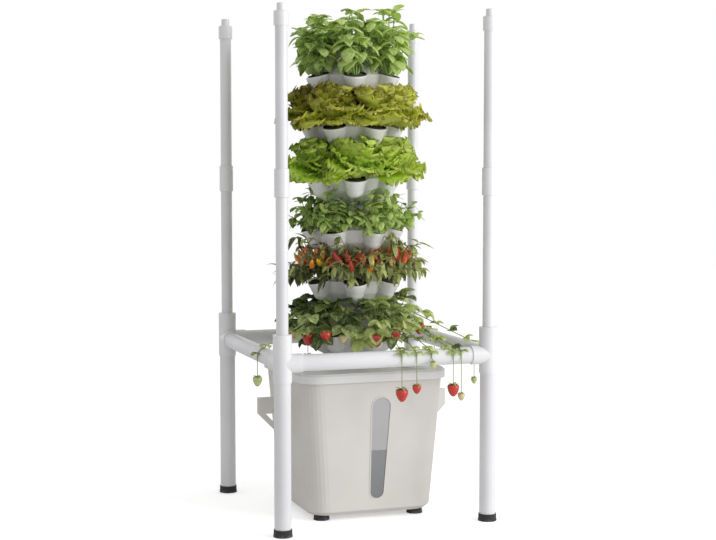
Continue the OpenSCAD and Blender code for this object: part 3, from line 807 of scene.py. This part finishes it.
def lettuce_head(bed, port, reach, height, tint, colour_and_painted_light_rise):
    """A rosette whose heart stands up; the oldest leaves reach out over the port's rim."""
    # Heads on the right, towards the lamp, get a brighter tint: partly their own colour, partly painted
    # light.
    tint += colour_and_painted_light_rise * port.rightness
    heart = port.at(crown_out, 0, 0.002)
    for number in range(lettuce_leaves):
        age = number / (lettuce_leaves - 1)
        spin = bed.spiral(number, 14)
        inward = inwardness(spin)
        rise = 88 - 59 * age ** 0.9 + bed.draw.uniform(-12, 12) + 36 * inward * age
        length = (height + (reach - height) * age) * bed.vary(1.0, 0.1) * (1 - 0.30 * inward * age)
        direction = port.towards(spin, rise)
        start = heart + port.towards(spin, 8) * (0.003 + 0.012 * age)
        roll = bed.draw.uniform(-0.6, 0.6)
        upper = UP * 0.6 - port.towards(spin, 0) * 0.8 + port.towards(spin + 90, 0) * roll
        young = age < heart_share
        bed.leaf(start, direction, upper, length, tint + bed.draw.uniform(-0.3, 0.3),
                 heart_forms if young else lettuce_forms, 0 if young else heart_forms)


bronze_finish = leaf_finish(
    "bronze_lettuce_leaf", (0.48, 0.52, 0.03), (0.90, 0.95, 0.20), (0.88, 0.90, 0.50),
    ((0.30, 0.20, 0.02), (0.80, 0.78, 0.14)), 0.80, 5, 0.46,
)
lime_finish = leaf_finish(
    "lime_lettuce_leaf", (0.37, 0.65, 0.014), (0.84, 0.99, 0.18), (0.80, 0.92, 0.44),
    ((0.38, 0.62, 0.016), (0.84, 0.94, 0.26)), 0.80, 5, 0.42,
)
heart_stem_finish = stem_finish("lettuce_rib", (0.52, 0.62, 0.28), (0.44, 0.54, 0.2))

# Name, tier and seed; length of outer and inner leaves, their tint and its rise to the right, partly the
# heads' own colour and partly painted light; then a leaf's lobes, frill and width, and its finish.
lettuces = (
    ("bronze_lettuce", 5, 52, (0.106, 0.134, 0.57, 0.36), (0.20, 0.085, 0.86), bronze_finish),
    ("lime_lettuce", 4, 47, (0.108, 0.126, 0.62, 0.38), (0.06, 0.09, 0.92), lime_finish),
)
for name, tier, seed, numbers, outline, finish in lettuces:
    leaves = leaf_patterns(lettuce_leaf(*outline), lettuce_forms, 20, 8, finish)
    plant_tier(name, tier, seed, lettuce_head, leaves, heart_stem_finish, numbers=numbers)

# Mint, fourth tier
# Many thin stems with small toothed leaves in crossed pairs, bushy and a little untidy.
mint_forms = 3
mint_finish = leaf_finish(
    "mint_leaf", (0.19, 0.34, 0.045), (0.74, 0.87, 0.34), (0.68, 0.80, 0.40),
    ((0.17, 0.32, 0.04), (0.58, 0.74, 0.24)), 0.9, 7, 0.46,
)
mint_stem_finish = stem_finish("mint_stem", (0.22, 0.36, 0.10), (0.26, 0.24, 0.10))


def mint_leaf(form, v, u):
    teeth = 1 + 0.05 * math.cos(2 * math.pi * 6 * v) * abs(u)
    half = 0.29 * math.sin(math.pi * v ** 0.8) ** 0.8 * teeth + leaf_point
    y, z = curl(v, (0.8, 0.4, 1.2)[form])
    return u * half, y, z + 0.22 * half * (1 - u * u) + 0.10 * half * abs(u)


def mint_plant(bed, port):
    stems = 14
    levels = 7
    foot_circle = 0.014
    leaf_length = 0.038
    stem_radii = (0.0016, 0.0009)
    for number in range(stems):
        spin = bed.spiral(number, 15)
        sideways = math.radians(spin)
        spread = number / stems
        rise = 86 - 50 * spread + 8 * min(0, math.cos(sideways))
        base = port.around(spin, foot_circle * spread, -foot_depth)
        narrow = 1 - 0.30 * spread * abs(math.sin(sideways))
        length = bed.vary(0.126 - 0.036 * spread, 0.14) * narrow
        path = bend(base, port.towards(spin, rise), length, 0.3, levels)
        bed.stem(path, stem_radii)
        for level in range(1, levels + 1):
            size = bed.vary(leaf_length, 0.2) * (1.1 - 0.4 * abs(level / levels - 0.4))
            for half in (0, 1):
                turn = spin + 90 * (level % 2) + 180 * half + bed.draw.uniform(-30, 30)
                direction = port.towards(turn, bed.draw.uniform(-50, 30))
                # Painted light: leaves on the right, towards the lamp, get a brighter tint.
                tint = 0.58 + 0.2 * port.rightness + bed.draw.uniform(-0.5, 0.5)
                bed.leaf(path[level], direction, UP, size, tint, mint_forms)


mint_leaves = leaf_patterns(mint_leaf, mint_forms, 6, 4, mint_finish)
plant_tier("mint", 3, 33, mint_plant, mint_leaves, mint_stem_finish)

# Chilli peppers, fifth tier
# Woody forked branches with narrow dark leaves, and small upright peppers that ripen from green through
# yellow and orange to red. A pepper is a waxy bent cone on a green cap.
chilli_forms = 3
chilli_finish = leaf_finish(
    "chilli_leaf", (0.08, 0.105, 0.03), (0.66, 0.70, 0.28), (0.62, 0.66, 0.34),
    ((0.07, 0.09, 0.03), (0.48, 0.54, 0.18)), 0.92, 6, 0.4,
)
chilli_stem_finish = stem_finish("chilli_stem", (0.11, 0.17, 0.05), (0.16, 0.15, 0.07))
pepper_colours = ((0.0, (0.16, 0.30, 0.03)), (0.28, (0.78, 0.50, 0.03)), (0.5, (0.80, 0.20, 0.02)),
                  (0.72, (0.62, 0.025, 0.012)), (1.0, (0.38, 0.012, 0.010)))
pepper_cap = (0.14, 0.30, 0.05)


def ripening_finish(name, colours, gloss, cap=None):
    """Fruit skin coloured by each fruit's own tint, from unripe to ripe; a cap colours its stalk end."""
    finish, tree, place = new_finish(name)
    tint, spread = own_values(tree)
    blush = noise(tree, place, 60, 3)
    shade = maths(tree, "ADD", tint, ramp(tree, blush, 0.3, 0.7, -0.08, 0.08))
    scale = put(tree, "ShaderNodeValToRGB", {"Fac": shade})
    steps = scale.color_ramp.elements
    for number, (where, colour) in enumerate(colours):
        step = steps[number] if number < 2 else steps.new(where)
        step.position = where
        step.color = (*colour, 1)
    colour = scale.outputs["Color"]
    if cap is not None:
        colour = blend_colours(tree, ramp(tree, spread["Y"], 0.10, 0.06), colour, cap)
    close_finish(tree, {
        "Base Color": colour,
        "Roughness": gloss,
        "Coat Weight": 0.35,
        "Coat Roughness": 0.12,
        "Normal": bump(tree, blush, 0.15, 0.001),
    })
    return finish


def turned_shape(profile, sides, sway=0.0):
    """Points, faces and UV of a turned shape along +Y from (radius, height) rings, bent sideways by sway."""
    points = []
    uv = []
    top = profile[-1][1]
    for radius, height in profile:
        shift = sway * (height / top) ** 2
        for step in range(sides):
            angle = 2 * math.pi * step / sides
            points.append((radius * math.cos(angle) + shift, height, -radius * math.sin(angle)))
            uv.append((step / sides, height / top))
    points += [(0, profile[0][1], 0), (sway, top, 0)]
    uv += [(0.5, 0), (0.5, 1)]
    return points, stack_faces(len(profile), sides), uv


pepper_finish = ripening_finish("pepper_skin", pepper_colours, 0.22, pepper_cap)
pepper_profile = (
    (0.05, 0.0), (0.16, 0.05), (0.19, 0.11), (0.20, 0.28), (0.17, 0.55), (0.11, 0.82), (0.03, 1.0),
)
pepper_sides = 10
pepper_sways = (0.0, 0.12)
port_ripeness = (0.72, 0.62, 0.5, 0.75, 0.6, 0.42)


def pepper_pattern(sway):
    points, faces, uv = turned_shape(pepper_profile, pepper_sides, sway)
    return pattern_object("pepper", points, faces, uv, pepper_finish)


def chilli_leaf(form, v, u):
    half = 0.16 * math.sin(math.pi * v ** 0.85) ** 0.9 + leaf_point
    y, z = curl(v, (0.9, 0.4, 1.4)[form])
    return u * half, y, z + 0.35 * half * abs(u)


def chilli_plant(bed, port):
    branches = 19
    levels = 6
    leaf_length = 0.043
    cluster = 18
    cluster_reach = 0.052
    cluster_height = 0.076
    pepper_length = 0.041
    tip_length = 0.042
    trunk_length = 0.046
    trunk_radii = (0.0032, 0.0028)
    branch_radii = (0.0019, 0.0010)
    stalk_radii = (0.0012, 0.0010)
    trunk = bend(port.at(0, 0, -foot_depth), port.towards(0, 80), trunk_length, 0.1, 3)
    bed.stem(trunk, trunk_radii)
    for number in range(branches):
        spin = bed.spiral(number, 16)
        inward = inwardness(spin)
        rise = bed.draw.uniform(-18, 66) + 22 * inward
        length = bed.vary(0.096, 0.36) * (1 - 0.34 * inward)
        path = bend(trunk[-1 - number % 2], port.towards(spin, rise), length, 0.2, levels)
        bed.stem(path, branch_radii)
        for level in range(2, levels + 1):
            for half in (0, 1):
                turn = spin + bed.draw.uniform(10, 120) * (1 if half else -1)
                direction = port.towards(turn, bed.draw.uniform(-65, 50))
                # Painted light: leaves on the right, towards the lamp, get a brighter tint.
                tint = 0.5 + 0.25 * port.rightness + bed.draw.uniform(-0.5, 0.5)
                bed.leaf(path[level], direction, UP, bed.vary(leaf_length, 0.35), tint, chilli_forms)
        tip = port.towards(spin, bed.draw.uniform(-25, 35))
        bed.leaf(path[-1], tip, UP, bed.vary(tip_length), bed.draw.uniform(0, 0.8), chilli_forms)
    for number in range(cluster):
        spin = golden_turn * number
        reach = cluster_reach * math.sqrt((number + 0.5) / cluster)
        sideways = math.radians(spin)
        base = port.at(0.014 + reach * math.cos(sideways), 1.2 * reach * math.sin(sideways),
                       cluster_height - 0.6 * reach + bed.draw.uniform(-0.014, 0.010))
        up = port.towards(spin + bed.draw.uniform(-40, 40), bed.draw.uniform(30, 86))
        bed.stem([trunk[-1], trunk[-1].lerp(base, 0.5) - UP * 0.004, base], stalk_radii)
        ripe = min(1.0, max(0.0, bed.draw.gauss(port_ripeness[port.number], 0.2)))
        size = bed.vary(pepper_length, 0.25)
        form = bed.draw.randrange(len(pepper_sways))
        bed.fruit(base, up, port.out, size, ripe, form)


chilli_leaves = leaf_patterns(chilli_leaf, chilli_forms, 6, 4, chilli_finish)
peppers = [pepper_pattern(sway) for sway in pepper_sways]
plant_tier("chilli_peppers", 2, 24, chilli_plant, chilli_leaves, chilli_stem_finish, peppers)

# Strawberries, bottom tier
# Leaves come in threes on long stalks that arch out of the crown, toothed and deeply veined. Berries
# hang on thin stalks: a fleshy cone set with pale seeds under a collar of pointed sepals.
berry_leaf_forms = 3
strawberry_finish = leaf_finish(
    "strawberry_leaf", (0.09, 0.15, 0.035), (0.76, 0.84, 0.38), (0.66, 0.76, 0.42),
    ((0.08, 0.13, 0.035), (0.60, 0.70, 0.26)), 0.92, 8, 0.46,
)
runner_finish = stem_finish("strawberry_stalk", (0.26, 0.42, 0.13), (0.34, 0.28, 0.14))
berry_colours = ((0.0, (0.36, 0.50, 0.14)), (0.25, (0.66, 0.60, 0.32)), (0.5, (0.72, 0.17, 0.06)),
                 (0.75, (0.60, 0.022, 0.016)), (1.0, (0.42, 0.010, 0.012)))
berry_finish = ripening_finish("berry_skin", berry_colours, 0.26)
seed_finish = moulded_finish("berry_seed", (0.68, 0.50, 0.16), (0.55, 0.36, 0.1), 0.4)
sepal_finish = stem_finish("sepal", (0.20, 0.40, 0.08), (0.28, 0.46, 0.14))
berry_profile = (
    (0.20, 0.0), (0.62, -0.02), (0.90, 0.12), (1.0, 0.42), (0.96, 0.80), (0.84, 1.18), (0.62, 1.62),
    (0.34, 1.92), (0.12, 2.06),
)
berry_sides = 16
# For each berry of a port: the stalk's turn and length, the berry's radius and ripeness, and its drop.
port_berries = (
    (-32, 0.100, 0.0185, 0.86, 0.004), (10, 0.094, 0.0175, 0.76, -0.006), (46, 0.092, 0.0130, 0.3, 0.004),
)
berry_stalk_radii = (0.0011, 0.0009)
seed_count = 68
seed_sides = 6
seed_half_length = 0.075
seed_half_width = 0.042
sepal_count = 8
fill_low, fill_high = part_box("fill_cap")
fill_travel = 0.08
fill_aside = 0.092
fill_above = 0.030


def berry_radius(height):
    for (near, low), (far, high) in zip(berry_profile[1:], berry_profile[2:]):
        if height <= high:
            return near + (far - near) * (height - low) / (high - low)
    return berry_profile[-1][0]


def seed_shape(number):
    """Points and faces of one seed, half sunk in the skin of a berry of unit radius."""
    height = 0.10 + 1.86 * (number + 0.5) / seed_count
    spin = number * math.radians(golden_turn)
    out = Vector((math.cos(spin), 0, math.sin(spin)))
    middle = out * (berry_radius(height) + 0.005) + Vector((0, height, 0))
    along = Vector((0, 1, 0))
    across = out.cross(along)
    points = []
    faces = []
    for step in range(seed_sides):
        angle = 2 * math.pi * step / seed_sides
        points.append(middle + along * seed_half_length * math.cos(angle)
                      + across * seed_half_width * math.sin(angle) - out * 0.03)
        following = (step + 1) % seed_sides
        faces += [(seed_sides, step, following), (seed_sides + 1, following, step)]
    return points + [middle + out * 0.025, middle - out * 0.05], faces


def sepal_shape(number):
    """Points and faces of one pointed sepal; every other one lifts off the berry."""
    angle = 2 * math.pi * number / sepal_count
    out = Vector((math.cos(angle), 0, math.sin(angle)))
    across = Vector((-math.sin(angle), 0, math.cos(angle)))
    lift = 0.16 if number % 2 else -0.02
    rows = ((0.0, 0.10, -0.06), (0.35, 0.24, -0.07), (0.75, 0.20, 0.02 - lift),
            (1.12, 0.02, 0.12 - 2 * lift))
    points = []
    for share, half, rise in rows:
        for sign in (-1, 1):
            for layer in (0, 0.03):
                points.append(out * share + across * half * sign + Vector((0, rise - layer - 0.03, 0)))
    faces = []
    for a in (0, 4, 8):
        faces += [(a, a + 2, a + 6, a + 4), (a + 1, a + 5, a + 7, a + 3),
                  (a, a + 4, a + 5, a + 1), (a + 2, a + 3, a + 7, a + 6)]
    return points, faces + [(0, 1, 3, 2), (12, 14, 15, 13)]


def berry_pattern():
    """A berry of unit radius with its stalk end at the origin, pointing along +Y."""
    body_points, body_faces, uv = turned_shape(berry_profile, berry_sides)
    shapes = [(body_points, body_faces)]
    shapes += [seed_shape(number) for number in range(seed_count)]
    shapes += [sepal_shape(number) for number in range(sepal_count)]
    slots = [0] + [1] * seed_count + [2] * sepal_count
    points, faces = joined(shapes)
    uv += [(0.5, 0.5)] * (len(points) - len(uv))
    made = pattern_object("berry", points, faces, uv, berry_finish)
    made.data.materials.append(seed_finish)
    made.data.materials.append(sepal_finish)
    made.data.polygons.foreach_set(
        "material_index", [slot for slot, shape in zip(slots, shapes) for _ in shape[1]])
    return made


def strawberry_leaf(form, v, u):
    teeth = 1 + 0.10 * math.cos(2 * math.pi * 7 * v) * abs(u) ** 3
    half = 0.40 * math.sin(math.pi * v ** 0.95) ** 0.62 * teeth + leaf_point
    y, z = curl(v, (0.7, 1.1, 0.4)[form])
    pleat = 0.018 * math.cos(2 * math.pi * 7 * v + 4 * abs(u)) * abs(u)
    return u * half, y, z + 0.45 * half * abs(u) + pleat


def strawberry_patterns():
    return leaf_patterns(strawberry_leaf, berry_leaf_forms, 12, 6, strawberry_finish)


def trefoil(bed, tip, direction, size, tint):
    """Three leaflets at the end of a stalk, the middle one straight on."""
    side = direction.cross(UP).normalized()
    upper = side.cross(direction).normalized()
    for turn in (-68, 0, 68):
        angle = math.radians(turn)
        way = direction * math.cos(angle) + side * math.sin(angle)
        bed.leaf(tip, way, upper, size * (1.0 if turn == 0 else 0.9), tint + bed.draw.uniform(-0.15, 0.15),
                 berry_leaf_forms)


def over_fill_cap(point):
    """Whether leaves at this point would hang in the way of the fill cap when it is lifted off."""
    across = point.x - (fill_low[0] + fill_high[0]) / 2
    along = point.y - (fill_low[1] + fill_high[1]) / 2
    return math.hypot(across, along) < fill_aside and point.z < fill_high[2] + fill_travel + fill_above


def strawberry_plant(bed, port):
    crown = port.at(crown_out, 0, 0)
    stalks = 24
    stalk_length = 0.098
    leaf_length = 0.053
    stalk_radii = (0.0015, 0.0010)
    for number in range(stalks):
        spin = bed.spiral(number, 12)
        inward = inwardness(spin)
        age = number / stalks
        rise = 82 - 70 * age + 26 * inward
        length = bed.vary(stalk_length, 0.2) * (1 - 0.35 * inward)
        path = bend(crown, port.towards(spin, rise), length, 0.95 * age + 0.1, 6)
        way = (path[-1] - path[-2]).normalized()
        flat = (way * 0.5 + port.towards(spin, 0) * 0.6 - UP * (0.15 + 0.5 * age)).normalized()
        if over_fill_cap(path[-1]) or over_fill_cap(path[-1] + flat * 0.04):
            continue
        bed.stem(path, stalk_radii)
        # Painted light: leaves on the right, towards the lamp, get a brighter tint.
        tint = 0.45 + 0.25 * port.rightness + bed.draw.uniform(-0.6, 0.6)
        trefoil(bed, path[-1], flat, bed.vary(leaf_length), tint)
    for berry in port_berries:
        hang_berry(bed, port, *berry)


def hang_berry(bed, port, spin, length, size, tint, drop):
    """A berry on a stalk that arches out over the port's rim."""
    path = bend(port.at(crown_out, 0, 0.006), port.towards(spin, 38), length, 1.5, 8)
    end = path[-1] - UP * drop
    if over_fill_cap(end - UP * size):
        return
    bed.stem(path + [end], berry_stalk_radii)
    bed.fruit(end, -UP + port.out * 0.08, port.out, size, tint)


plant_tier("strawberry_plants", 1, 11, strawberry_plant, strawberry_patterns(), runner_finish,
           [berry_pattern()])

# Hanging fruit
# Some stalks have grown out over the rails and hang down outside them with their berries.
rail_radius = 0.025
rail_axis_height = 0.510
half_post = 0.325
stalk_radius = 0.0016
stalk_clear = 0.0005
crown_reach = 0.176
stalk_start = 0.626
bottom_turn = tower_turn - 90
port_step = 360 / port_count
stalk_spread = 0.5
wrap_steps = 6
left_side = 270
berry_top = 0.85
stalk_leaves = ((0.45, 0.030), (0.68, 0.034), (0.92, 0.028))
rail_leaf_size = 0.028
# The side's turn, the place along its rail, the height, the radius and the ripeness of each berry.
hanging = (
    (0, 0.036, 0.406, 0.019, 0.84), (0, 0.083, 0.421, 0.0135, 0.78), (0, 0.200, 0.413, 0.018, 0.80),
    (0, 0.226, 0.391, 0.011, 0.25), (90, -0.152, 0.407, 0.010, 0.1), (90, 0.190, 0.415, 0.0145, 0.08),
    (180, 0.040, 0.425, 0.019, 0.86), (270, 0.148, 0.437, 0.0145, 0.1), (0, 0.131, 0.492, 0.0105, 0.12),
)


def stalk_turn(goal):
    """Where a stalk leaves the nearest crown, between its middle and where it crosses the rail."""
    crown = bottom_turn + port_step * round((goal - bottom_turn) / port_step)
    return crown + stalk_spread * (goal - crown)


def over_rail(turn, along, low):
    """A stalk's path from the crown over a rail and down outside it, laid out as at the front rail."""
    wrap = rail_radius + stalk_clear + stalk_radius
    heading = math.radians(stalk_turn(turn - 90 + math.degrees(math.atan2(along, half_post))) - turn)
    start = Vector((crown_reach * math.cos(heading), crown_reach * math.sin(heading), stalk_start))
    run = Vector((half_post + start.y, start.z - rail_axis_height))
    touch = math.atan2(run.y, run.x) + math.acos(wrap / run.length)
    bend_points = []
    for step in range(wrap_steps + 1):
        angle = touch + (math.pi - touch) * step / wrap_steps
        wrapped = Vector((0, math.cos(angle), math.sin(angle))) * wrap
        bend_points.append(Vector((along, -half_post, rail_axis_height)) + wrapped)
    outside = Vector((along, -half_post - wrap, low))
    return [start, start.lerp(bend_points[0], 0.5)] + bend_points + [outside]


bed = Bed(70)
for turn, along, height, size, tint in hanging:
    spin = Matrix.Rotation(math.radians(turn), 4, "Z")
    path = [spin @ point for point in over_rail(turn, along, height + berry_top * size)]
    # A berry as high as the rail hangs in front of it.
    if height + size > rail_axis_height - rail_radius:
        path[-1] += spin @ Vector((0, -size, 0))
    bed.stem(path, (stalk_radius, stalk_radius * 0.8))
    bed.fruit(path[-1], -UP, Vector((0, -1, 0)), size, tint)
    for share, leaf_size in stalk_leaves:
        knot = path[0].lerp(path[2], share)
        way = Vector((bed.draw.uniform(-0.9, 0.9), -0.6, bed.draw.uniform(-0.1, 0.5)))
        trefoil(bed, knot, (spin @ way).normalized(), leaf_size, bed.draw.uniform(0.1, 0.9))
    knot = path[6 if turn == left_side else 4]
    trefoil(bed, knot, (spin @ Vector((0.5, -0.8, 0.1))).normalized(), rail_leaf_size,
            bed.draw.uniform(0.2, 0.9))
hanging_berries = grow("hanging_berries", bed, strawberry_patterns(), [berry_pattern()], runner_finish)
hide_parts("hanging_fruit")
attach(hanging_berries, "tower")

# Studio
# A plain white room: a large soft lamp at the front right, an even pale surround and a floor that only keeps
# the tower's soft shadow.
key_power = 132
key_size = 2.6
key_place = Vector((3.3, -3.1, 1.9))
key_aim = Vector((0, 0, 0.7))
floor_size = 16
floor_drop = 0.0005
floor_white = (0.92, 0.92, 0.92)
floor_glow = 0.48
ambient = 0.58
white = (1, 1, 1)

floor_finish, tree, _ = new_finish("studio_floor")
rays = put(tree, "ShaderNodeLightPath").outputs
plain = put(tree, "ShaderNodeBsdfPrincipled", {"Base Color": floor_white, "Roughness": 0.9}).outputs["BSDF"]
glow = put(tree, "ShaderNodeEmission", {"Color": white, "Strength": floor_glow}).outputs["Emission"]
both = put(tree, "ShaderNodeAddShader", {0: plain, 1: glow}).outputs["Shader"]
seen = mix_shaders(tree, rays["Is Camera Ray"], plain, both)
put(tree, "ShaderNodeOutputMaterial", {"Surface": seen})
half = floor_size / 2
around = ((-half, -half), (half, -half), (half, half), (-half, half))
floor = mesh_object("studio_floor", [(x, y, -floor_drop) for x, y in around], [(0, 1, 2, 3)], floor_finish)
show(floor)

world = bpy.data.worlds.new("studio")
world.use_nodes = True
bpy.context.scene.world = world
tree = world.node_tree
tree.nodes.clear()
rays = put(tree, "ShaderNodeLightPath").outputs
mirrored = maths(tree, "MAXIMUM", rays["Is Glossy Ray"], rays["Is Transmission Ray"])
white_seen = maths(tree, "MAXIMUM", rays["Is Camera Ray"], mirrored)
room = put(tree, "ShaderNodeBackground", {"Color": white, "Strength": ambient}).outputs["Background"]
backdrop = put(tree, "ShaderNodeBackground", {"Color": white, "Strength": 1.0}).outputs["Background"]
put(tree, "ShaderNodeOutputWorld", {"Surface": mix_shaders(tree, white_seen, room, backdrop)})

lamp = bpy.data.lights.new("key_lamp", "AREA")
lamp.energy = key_power
lamp.shape = "SQUARE"
lamp.size = key_size
key = bpy.data.objects.new("key_lamp", lamp)
key.location = key_place
key.rotation_euler = (key_aim - key_place).to_track_quat("-Z", "Y").to_euler()
show(key)

bpy.context.scene.view_settings.view_transform = "Standard"
